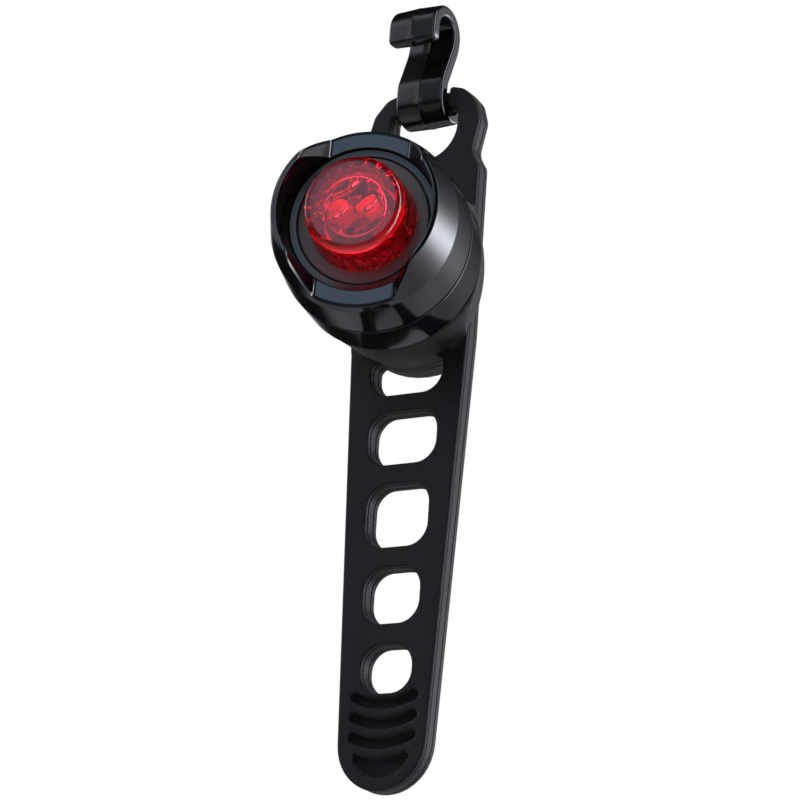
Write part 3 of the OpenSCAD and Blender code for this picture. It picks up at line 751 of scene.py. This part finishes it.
def build_hook():
    """The bent hook, with rounded edges and a faint parting line along its middle."""
    half, edge, ridge, line = 4.8, 0.5, 0.16, 0.035
    loop = hook_outline()
    n = len(loop)
    columns = [(half, edge + 0.2)]
    columns += [(half - edge * s, edge * c) for s, c in reversed(quarter(5))]
    columns += [(x, -ridge * (1 - x / (half - edge))) for x in (2.6, 1.2, 0.16)]
    columns += [(0.06, -ridge - line), (-0.06, -ridge - line)]
    columns += [(-x, d) for x, d in reversed(columns[:-2])]
    tip = min(p.y for p in loop if p.x < LIP_Y)
    verts = []
    for x, d in columns:
        for p in inset(loop, d):
            turn = max(0.0, 1 - (p.y - tip) / LIP_CORNER) if p.x < LIP_Y else 0
            share = 1 - LIP_CORNER * (1 - math.sqrt(max(0.0, 1 - turn * turn))) / half
            verts.append((x * share, BAR_Y + p.x, BAR_Z + p.y))
    faces = grid_faces(len(columns), n) + end_caps(verts, len(columns), n)
    obj = piece("hook_moulding", verts, faces, HOOK)
    outward(obj)
    weighted(obj)
    return obj


hook = build_hook()


# ---------------------------------------------------------------- lamp
def ear_height(x):
    """Height of the housing's front at a distance from its middle plane, with softened corners."""
    slope = (EAR_H - FRONT_H) / RAMP
    ramp = FRONT_H + (x - FLAT_HALF) * slope
    k = 0.5
    h = max(k - abs(ramp - FRONT_H), 0) / k
    low = max(FRONT_H, ramp) + h * h * k / 4
    h = max(k - abs(low - EAR_H), 0) / k
    return min(low, EAR_H) - h * h * k / 4


def well_r(h):
    """Radius of the front well, which widens above the bezel."""
    share = max(0.0, h - BEZEL_TOP) / (EAR_H - BEZEL_TOP)
    return WELL_R + (WELL_TOP_R - WELL_R) * share


def wall_r(h):
    """Radius of the housing's wall: a band up to its crease, then the ears' cone."""
    if h < CREASE_H:
        return LAMP_R - (LAMP_R - CREASE_R) * h / CREASE_H
    return CREASE_R - (CREASE_R - EAR_R) * (h - CREASE_H) / (EAR_H - CREASE_H)


def rim_columns():
    """Inner and outer points of the housing's front rim, once round."""
    quarter = []
    # across a flat and up its ramp, closer together at the ramp's corners
    xs = [0, 1.5, 3, 4.5, 5.6, 6.2, 6.5, 6.7, 6.9, 7.1, 7.4, 8.0, 8.7, 9.4]
    xs += [10.0, 10.4, 10.6, 10.75, 10.9, 11.2]
    for x in xs:
        h = ear_height(x)
        ri, ro = well_r(h), wall_r(h)
        quarter.append((math.asin(x / ri), math.asin(x / ro), h))
    ti, to, _ = quarter[-1]
    steps = 14
    for k in range(1, steps + 1):
        f = k / steps
        quarter.append((ti + (math.pi / 2 - ti) * f, to + (math.pi / 2 - to) * f, EAR_H))
    back = [(math.pi - a, math.pi - b, h) for a, b, h in reversed(quarter[:-1])]
    half = quarter + back[:-1]
    return half + [(math.pi + a, math.pi + b, h) for a, b, h in half]


def around(angle, r, z):
    """Point at an angle from the lamp's upright, a radius and a height."""
    return Vector((r * math.sin(angle), r * math.cos(angle), z))


def build_housing():
    """The housing, in columns once round: up the outside, over the rim and down the well."""
    edge, soft, wall_soft = 0.2, 0.05, 0.08
    # out along the joint, over the lip that laps the base, and up through the seam's notch
    profile_bottom = [
        (CAVITY_R, 0.0), (LAMP_R - 0.46, 0.0), (LAMP_R - 0.36, -0.1), (LAMP_R - 0.05, -0.41),
        (LAMP_R - 0.015, -0.41), (LAMP_R - 0.015, -0.02), (LAMP_R - SEAM_DEPTH, 0.12),
        (LAMP_R - SEAM_DEPTH, SEAM_H), (LAMP_R - 0.06, SEAM_H), (LAMP_R - 0.033, SEAM_H + 0.05),
    ]
    profile_inside = [
        (WELL_R, WEB_TOP), (SEAL_BORE_R, WEB_TOP), (SEAL_BORE_R, WEB_BOTTOM), (CAVITY_R, WEB_BOTTOM),
    ]
    crease = [CREASE_H - 0.16, CREASE_H - 0.05, CREASE_H + 0.05, CREASE_H + 0.16]
    columns = rim_columns()
    verts = []
    for a, b, h in columns:
        a, b = a - EAR_TURN, b - EAR_TURN
        lean = CHAMFER_FLAT + (CHAMFER_EAR - CHAMFER_FLAT) * smooth(FRONT_H + 1, EAR_H, h)
        low = h - CHAMFER_W * math.tan(lean)
        below = low - wall_soft
        line = [around(b, r, z) for r, z in profile_bottom]
        heights = [2.8, 5.5] + crease + [crease[-1] + (below - crease[-1]) * f for f in (0.33, 0.67)]
        line += [around(b, wall_r(z), z) for z in heights]
        top_out, top_in = around(b, wall_r(low), low), around(a, well_r(h), h)
        brink = around(b, wall_r(h), h)
        across = (top_in - brink).normalized()
        bend = brink + across * CHAMFER_W
        slope = (bend - top_out).normalized()
        low_in = around(a, well_r(h - edge), h - edge)
        line += bezier(around(b, wall_r(below), below), top_out, top_out + slope * wall_soft)
        line += bezier(bend - slope * soft, bend, bend + across * soft)
        line += bezier(top_in - across * edge, top_in, low_in)
        for f in (0.33, 0.66, 1.0):
            z = h - edge + (BEZEL_TOP - 0.6 - h + edge) * f
            line.append(around(a, well_r(z), z))
        line += [around(a, r, z) for r, z in profile_inside]
        verts += line
    rows = len(verts) // len(columns)
    faces = grid_faces(len(columns), rows, wrap_rows=True)
    obj = piece("housing_shell", verts, faces, ALLOY, 38, LAMP)
    outward(obj)
    weighted(obj)
    return obj


housing = build_housing()
bezel = lathe("bezel_turned", turned_profile([
    (12.8, 6.2, 0), (12.8, 8.89, 0.05), (12.32, BEZEL_TOP, 0), (11.6, BEZEL_TOP, 0.16),
    (11.6, 8.05, 0.1), (12.25, 8.05, 0), (12.25, 6.2, 0),
]), BEZEL)
button = lathe("button_moulding", turned_profile([
    (7.45, 6.95, 0), (9.5, 6.95, 0), (9.5, 5.5, 0), (9.95, 5.5, 0), (9.95, RIM_BOTTOM, 0),
    (12.1, RIM_BOTTOM, 0), (12.1, 7.9, 0), (11.45, 7.9, 0), (11.45, LENS_FLANGE, 0.3),
    (8.85, LENS_FLANGE, 0.1), (8.85, LENS_FOOT, 0), (7.45, LENS_FOOT, 0),
]), BUTTON)
for obj in (bezel, button):
    weighted(obj)


def lens_underside(x, y):
    """Wavy height of the hollow's end, which breaks up what is seen through the front."""
    broad = 0.46 * math.sin(1.1 * x + 0.4 * y + 1.9) * math.cos(0.95 * y - 0.35 * x + 0.2)
    fine = 0.2 * math.sin(1.6 * x - 1.9 * y + 1.4)
    return LED_ROOM + broad + fine


def build_lens():
    """The clear cap: a smooth outside, and a hollow with a wavy end and uneven flutes round its wall."""
    segments, flutes = 264, 22
    outside = turned_profile([
        (8.8, LENS_FOOT, 0), (8.8, LENS_FLANGE, 0), (9.4, LENS_FLANGE, 0.05), (8.55, LENS_TOP, 1.4),
        (0, LENS_TOP, 0),
    ], 12)
    outside.pop()
    outside += [(r, LENS_TOP + LENS_CROWN * (1 - (r / 6.6) ** 2)) for r in (5.6, 4.6, 3.6, 2.4, 1.2)]
    inside = [(0.4 + 0.4 * k, HOLLOW_TOP) for k in range(13)]
    inside += [(5.3, 14.2), (5.45, 13.85), (6.4, 13.75), (7.2, 13.7)]
    inside += [(HOLLOW_R, h) for h in (13.5, 13.1, 11.8, 10.4, 9.0, 7.9, LENS_FOOT)]
    verts = []
    for j in range(segments):
        t = 2 * math.pi * j / segments
        turn = t * flutes / (2 * math.pi)
        wave = abs(turn % 1.0 - 0.5) * 2
        cut = (0.76 + 0.16 * math.sin(2.4 * math.floor(turn) ** 2)) * wave
        verts += [(r * math.cos(t), r * math.sin(t), h) for r, h in outside]
        for r, h in inside:
            r += cut if r == HOLLOW_R and 7.8 < h < 13.3 else 0
            x, y = r * math.cos(t), r * math.sin(t)
            verts.append((x, y, h + lens_underside(x, y) * (1 - smooth(4.4, 5.3, r))))
    n = len(outside) + len(inside)
    last_out, first_in = len(outside) - 1, len(outside)
    top, under = len(verts), len(verts) + 1
    verts += [(0, 0, LENS_TOP + LENS_CROWN), (0, 0, HOLLOW_TOP + lens_underside(0, 0))]
    faces = []
    for j in range(segments):
        m = (j + 1) % segments
        for i in range(n):
            k = (i + 1) % n
            if i != last_out:
                faces.append((j * n + i, m * n + i, m * n + k, j * n + k))
    for j in range(segments):
        m = (j + 1) % segments
        faces.append((j * n + last_out, m * n + last_out, top))
        faces.append((j * n + first_in, m * n + first_in, under))
    obj = piece("lens_cap", verts, faces, LENS, 30, LAMP)
    outward(obj)
    return obj


lens = build_lens()


def build_spring():
    """Wave spring between the housing's web and the button's rim."""
    segments, waves, lift = 144, 4, 0.375
    bore, rim_r, half, edge = 10.65, 12.0, 0.125, 0.05
    middle = (WEB_TOP + RIM_BOTTOM) / 2
    profile = turned_profile([
        (bore, -half, edge), (rim_r, -half, edge), (rim_r, half, edge), (bore, half, edge),
    ])
    verts = []
    for j in range(segments):
        t = 2 * math.pi * j / segments
        rise = middle + lift * math.cos(waves * t)
        verts += [(r * math.cos(t), r * math.sin(t), rise + h) for r, h in profile]
    faces = grid_faces(segments, len(profile), wrap_rows=True)
    obj = piece("spring_ring", verts, faces, STEEL, matrix=LAMP)
    outward(obj)
    return obj


spring = build_spring()


# ---------------------------------------------------------------- pad
def build_pad():
    """Pad behind the strap, with drafted sides, a hollow for the post and rounded edges."""
    wide, narrow, pad_half, edge = 9.8, 6.7, 16.5, 0.35
    wrap = math.radians(56)
    ridge_y, ridge_z = -POST_R * math.cos(wrap), POST_R * math.sin(wrap)
    path = [(STRAP_BACK, pad_half, 0.5), (STRAP_BACK + 4, pad_half, 0.9), (ridge_y, ridge_z, 0.7)]
    turns = [wrap * k / 12 for k in range(11, 0, -1)]
    hollow = [(-POST_R * math.cos(t), POST_R * math.sin(t), 0) for t in turns]
    upper = path + hollow
    lower = [(y, -z, r) for y, z, r in reversed(upper)]
    loop = refined(rounded(upper + [(-POST_R, 0, 0)] + lower, 6), 0.8)
    loop = loop if area(loop) > 0 else loop[::-1]
    n = len(loop)
    columns = [(1.0, edge + 0.05, 0)]
    columns += [(1.0, edge * c, edge * s) for s, c in reversed(quarter(5))]
    columns += [(f, 0, 0) for f in (0.75, 0.5, 0.25)]
    columns = columns + [(0, 0, 0)] + [(-f, d, back) for f, d, back in reversed(columns)]
    verts = []
    for f, d, back in columns:
        for p in inset(loop, d):
            y, z = p
            half = wide - (wide - narrow) * (y - STRAP_BACK) / (ridge_y - STRAP_BACK)
            x = f * half - math.copysign(back, f)
            reach = math.sqrt(SEAT_R ** 2 - x * x) / SEAT_R
            outer = smooth(13.0, pad_half, abs(z))
            verts.append((x, y, z * (1 - outer * (1 - reach))))
    faces = grid_faces(len(columns), n) + end_caps(verts, len(columns), n)
    obj = piece("post_pad_rubber", verts, faces, STRAP, 40)
    outward(obj)
    weighted(obj)
    return obj


pad = build_pad()

# ---------------------------------------------------------------- bodies and finishes
for obj, body, node, slot in (
    (strap, "strap_body", "strap", "strap_rubber"),
    (pad, "strap_body", "post_pad", "strap_rubber"),
    (hook, "hook_body", "hook", "hook_plastic"),
    (housing, "head_body", "housing", "black_alloy"),
    (bezel, "head_body", "bezel_ring", "bezel_alloy"),
    (button, "button_body", "button_ring", "button_plastic"),
    (lens, "button_body", "lens", "lens_red"),
    (spring, "head_body", "wave_spring", "steel"),
):
    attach(obj, body)
    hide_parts(node)
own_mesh(spring)

finishes = {
    ALLOY: ["base"],
    SEAL: ["base_seal", "button_seal"],
    STEEL: ["strap_retainer", "strap_screw", "holder_screws", "front_cell", "rear_cell"],
    BRIGHT: ["reflector"],
    EPOXY: ["leds"],
    BOARD: ["circuit_board"],
    CHIP: ["controller_chip", "resistors", "switch_body"],
    HOLDER: ["switch_plunger", "cell_holder"],
    BRASS: ["negative_contact", "positive_contact"],
}
for material, names in finishes.items():
    for name in names:
        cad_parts[name].data.materials.clear()
        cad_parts[name].data.materials.append(material)


# ---------------------------------------------------------------- stage, light and camera
# Azimuth and elevation, in degrees, of the camera and of what lies behind the object
CAMERA_AZ, CAMERA_EL, CAMERA_ROLL = 31.40, -18.10, 4.0
BEHIND = (-148.6, 18.1)
FOCAL_PX, PHOTO_PX, SENSOR = 3083, 800, 36


def heading(azimuth, elevation):
    """Unit vector from degrees: azimuth from straight in front (-Y) round by +X, elevation up."""
    az, el = math.radians(azimuth), math.radians(elevation)
    return Vector((math.sin(az) * math.cos(el), -math.cos(az) * math.cos(el), math.sin(el)))


class World:
    """The studio round the object: white behind it, plain light on it, soft cards in its gloss."""

    def __init__(self):
        self.world = bpy.data.worlds.new("studio")
        bpy.context.scene.world = self.world
        self.world.use_nodes = True
        self.world.cycles.sampling_method = "NONE"
        self.tree = self.world.node_tree
        self.tree.nodes.clear()
        self.place = self.add("TexCoord").outputs["Generated"]

    def add(self, kind, *inputs, **settings):
        node = self.tree.nodes.new("ShaderNode" + kind)
        for key, value in settings.items():
            setattr(node, key, value)
        for socket, value in zip(node.inputs, inputs):
            if isinstance(value, bpy.types.NodeSocket):
                self.tree.links.new(value, socket)
            elif value is not None:
                socket.default_value = value
        return node

    def math(self, operation, *inputs):
        """A sum of any kind on values or sockets."""
        return self.add("Math", *inputs, operation=operation).outputs[0]

    def along(self, direction):
        """How far the view runs along a direction, from -1 to 1."""
        return self.add("VectorMath", self.place, tuple(direction), operation="DOT_PRODUCT").outputs["Value"]

    def fade(self, value, low, high, at_low, at_high):
        """Eases from one level to another between two values."""
        node = self.add("MapRange", value, low, high, at_low, at_high, interpolation_type="SMOOTHSTEP")
        return node.outputs["Result"]

    def lobe(self, azimuth, elevation, spread, strength):
        """Soft round light in one direction, faded to a third at an angle of spread degrees."""
        off = self.math("SUBTRACT", self.along(heading(azimuth, elevation)), 1.0)
        sharp = 2 / math.radians(spread) ** 2
        return self.math("MULTIPLY", self.math("EXPONENT", self.math("MULTIPLY", off, sharp)), strength)

    def strip(self, azimuth, spread, low, high, strength):
        """Soft upright light at one azimuth, from a low to a high elevation in degrees."""
        level = self.add("VectorMath", self.place, (1, 1, 0), operation="MULTIPLY").outputs["Vector"]
        level = self.add("VectorMath", level, operation="NORMALIZE").outputs["Vector"]
        ahead = tuple(heading(azimuth, 0))
        facing = self.add("VectorMath", level, ahead, operation="DOT_PRODUCT").outputs["Value"]
        sharp = 2 / math.radians(spread) ** 2
        across = self.math("EXPONENT", self.math("MULTIPLY", self.math("SUBTRACT", facing, 1.0), sharp))
        height = self.along((0, 0, 1))
        foot, head = math.sin(math.radians(low)), math.sin(math.radians(high))
        soft = 0.12
        rise = self.fade(height, foot - soft, foot + soft, 0.0, 1.0)
        fall = self.fade(height, head - soft, head + soft, strength, 0.0)
        return self.math("MULTIPLY", across, self.math("MULTIPLY", rise, fall))

    def total(self, *values):
        out = values[0]
        for value in values[1:]:
            out = self.math("ADD", out, value)
        return out

    def background(self, colour, strength):
        return self.add("Background", (*colour, 1), strength).outputs[0]

    def mix(self, share, first, second):
        return self.add("MixShader", share, first, second).outputs[0]


def build_world():
    """White to the camera, plain light for the body colours, and cards for the gloss."""
    w = World()
    front = w.lobe(4, 21, 20, 1.5)
    side = w.total(w.lobe(142, 3, 12.5, 9.0), w.lobe(142, 3, 28, 1.1), w.lobe(118, 19, 12, 1.0))
    left = w.total(w.lobe(-80, 20, 15, 5.5), w.strip(-43, 10, 2, 62, 1.25))
    edges = w.strip(86, 8, -30, 58, 12.0)
    height = w.along((0, 0, 1))
    below = w.total(w.fade(height, -0.36, -0.14, 0.34, 0.0), w.fade(height, -0.95, -0.55, 0.5, 0.0))
    # away from the camera, which stands at the opposite azimuth and elevation
    backdrop = w.lobe(*BEHIND, 7, 0.9)
    gloss = w.total(side, left, edges, below, backdrop, 0.008)
    rays = w.add("LightPath").outputs
    plain = w.background((1, 1, 1), 0.16)
    cards = (w.background((0.72, 1.0, 1.32), front), w.background((0.94, 0.97, 1.06), gloss))
    seen = w.add("AddShader", *cards).outputs[0]
    white = w.background((1, 1, 1), 1.0)
    behind = w.background((1, 1, 1), w.lobe(*BEHIND, 45, 1.0))
    through = w.add("AddShader", seen, behind).outputs[0]
    lit = w.mix(rays["Is Transmission Ray"], w.mix(rays["Is Glossy Ray"], plain, seen), through)
    surface = w.mix(rays["Is Camera Ray"], lit, white)
    w.tree.links.new(surface, w.add("OutputWorld").inputs["Surface"])


def build_floor():
    """Pale floor under the object, which only lights it from below."""
    mesh = bpy.data.meshes.new("floor")
    s, z = 3.0, -0.215
    mesh.from_pydata([(-s, -s, z), (s, -s, z), (s, s, z), (-s, s, z)], [], [(0, 1, 2, 3)])
    n = Nodes("floor_pale")
    n.set(Base_Color=n.ramp(n.noise(3, 3), [(0.3, 0.84), (0.7, 0.88)]), Roughness=0.7)
    mesh.materials.append(n.material)
    floor = bpy.data.objects.new("floor", mesh)
    bpy.context.scene.collection.objects.link(floor)
    floor.visible_glossy = False


def area_light(name, place, target, size, power, colour=(1, 1, 1)):
    """A lamp that lights the body colours and stays out of the gloss."""
    light = bpy.data.lights.new(name, "AREA")
    light.shape, light.size, light.size_y = "RECTANGLE", size[0], size[1]
    light.energy, light.color = power, colour
    obj = bpy.data.objects.new(name, light)
    obj.location = place
    obj.rotation_euler = (Vector(target) - Vector(place)).to_track_quat("-Z", "Y").to_euler()
    obj.visible_glossy = False
    bpy.context.scene.collection.objects.link(obj)


def build_camera():
    """The camera that was fitted to the photograph."""
    roll = math.radians(CAMERA_ROLL)
    back = heading(CAMERA_AZ, CAMERA_EL)
    level = Vector((0, 0, 1)).cross(back).normalized()
    upright = back.cross(level)
    right = level * math.cos(roll) + upright * math.sin(roll)
    up = upright * math.cos(roll) - level * math.sin(roll)
    data = bpy.data.cameras.new("camera")
    data.sensor_width = SENSOR
    data.lens = FOCAL_PX / PHOTO_PX * SENSOR
    data.clip_start, data.clip_end = 0.01, 20
    camera = bpy.data.objects.new("camera", data)
    place = Vector((0.2660, -0.4554, -0.1903))
    camera.matrix_world = Matrix((
        (right.x, up.x, back.x, place.x),
        (right.y, up.y, back.y, place.y),
        (right.z, up.z, back.z, place.z),
        (0, 0, 0, 1),
    ))
    bpy.context.scene.collection.objects.link(camera)
    bpy.context.scene.camera = camera


build_world()
build_floor()
# name, place, target, size, power and colour
lamp_middle = (0, -0.03, 0)
area_light("front", heading(8, 46) * 0.46, (0, -0.03, 0.02), (0.4, 0.3), 1.9, (0.93, 0.97, 1.0))
area_light("fill", heading(-74, 22) * 0.85, lamp_middle, (0.3, 0.5), 3.6)
area_light("side", heading(136, 8) * 0.62, lamp_middle, (0.38, 0.5), 6.5, (0.95, 0.98, 1.0))
build_camera()
bpy.context.scene.view_settings.view_transform = "Standard"
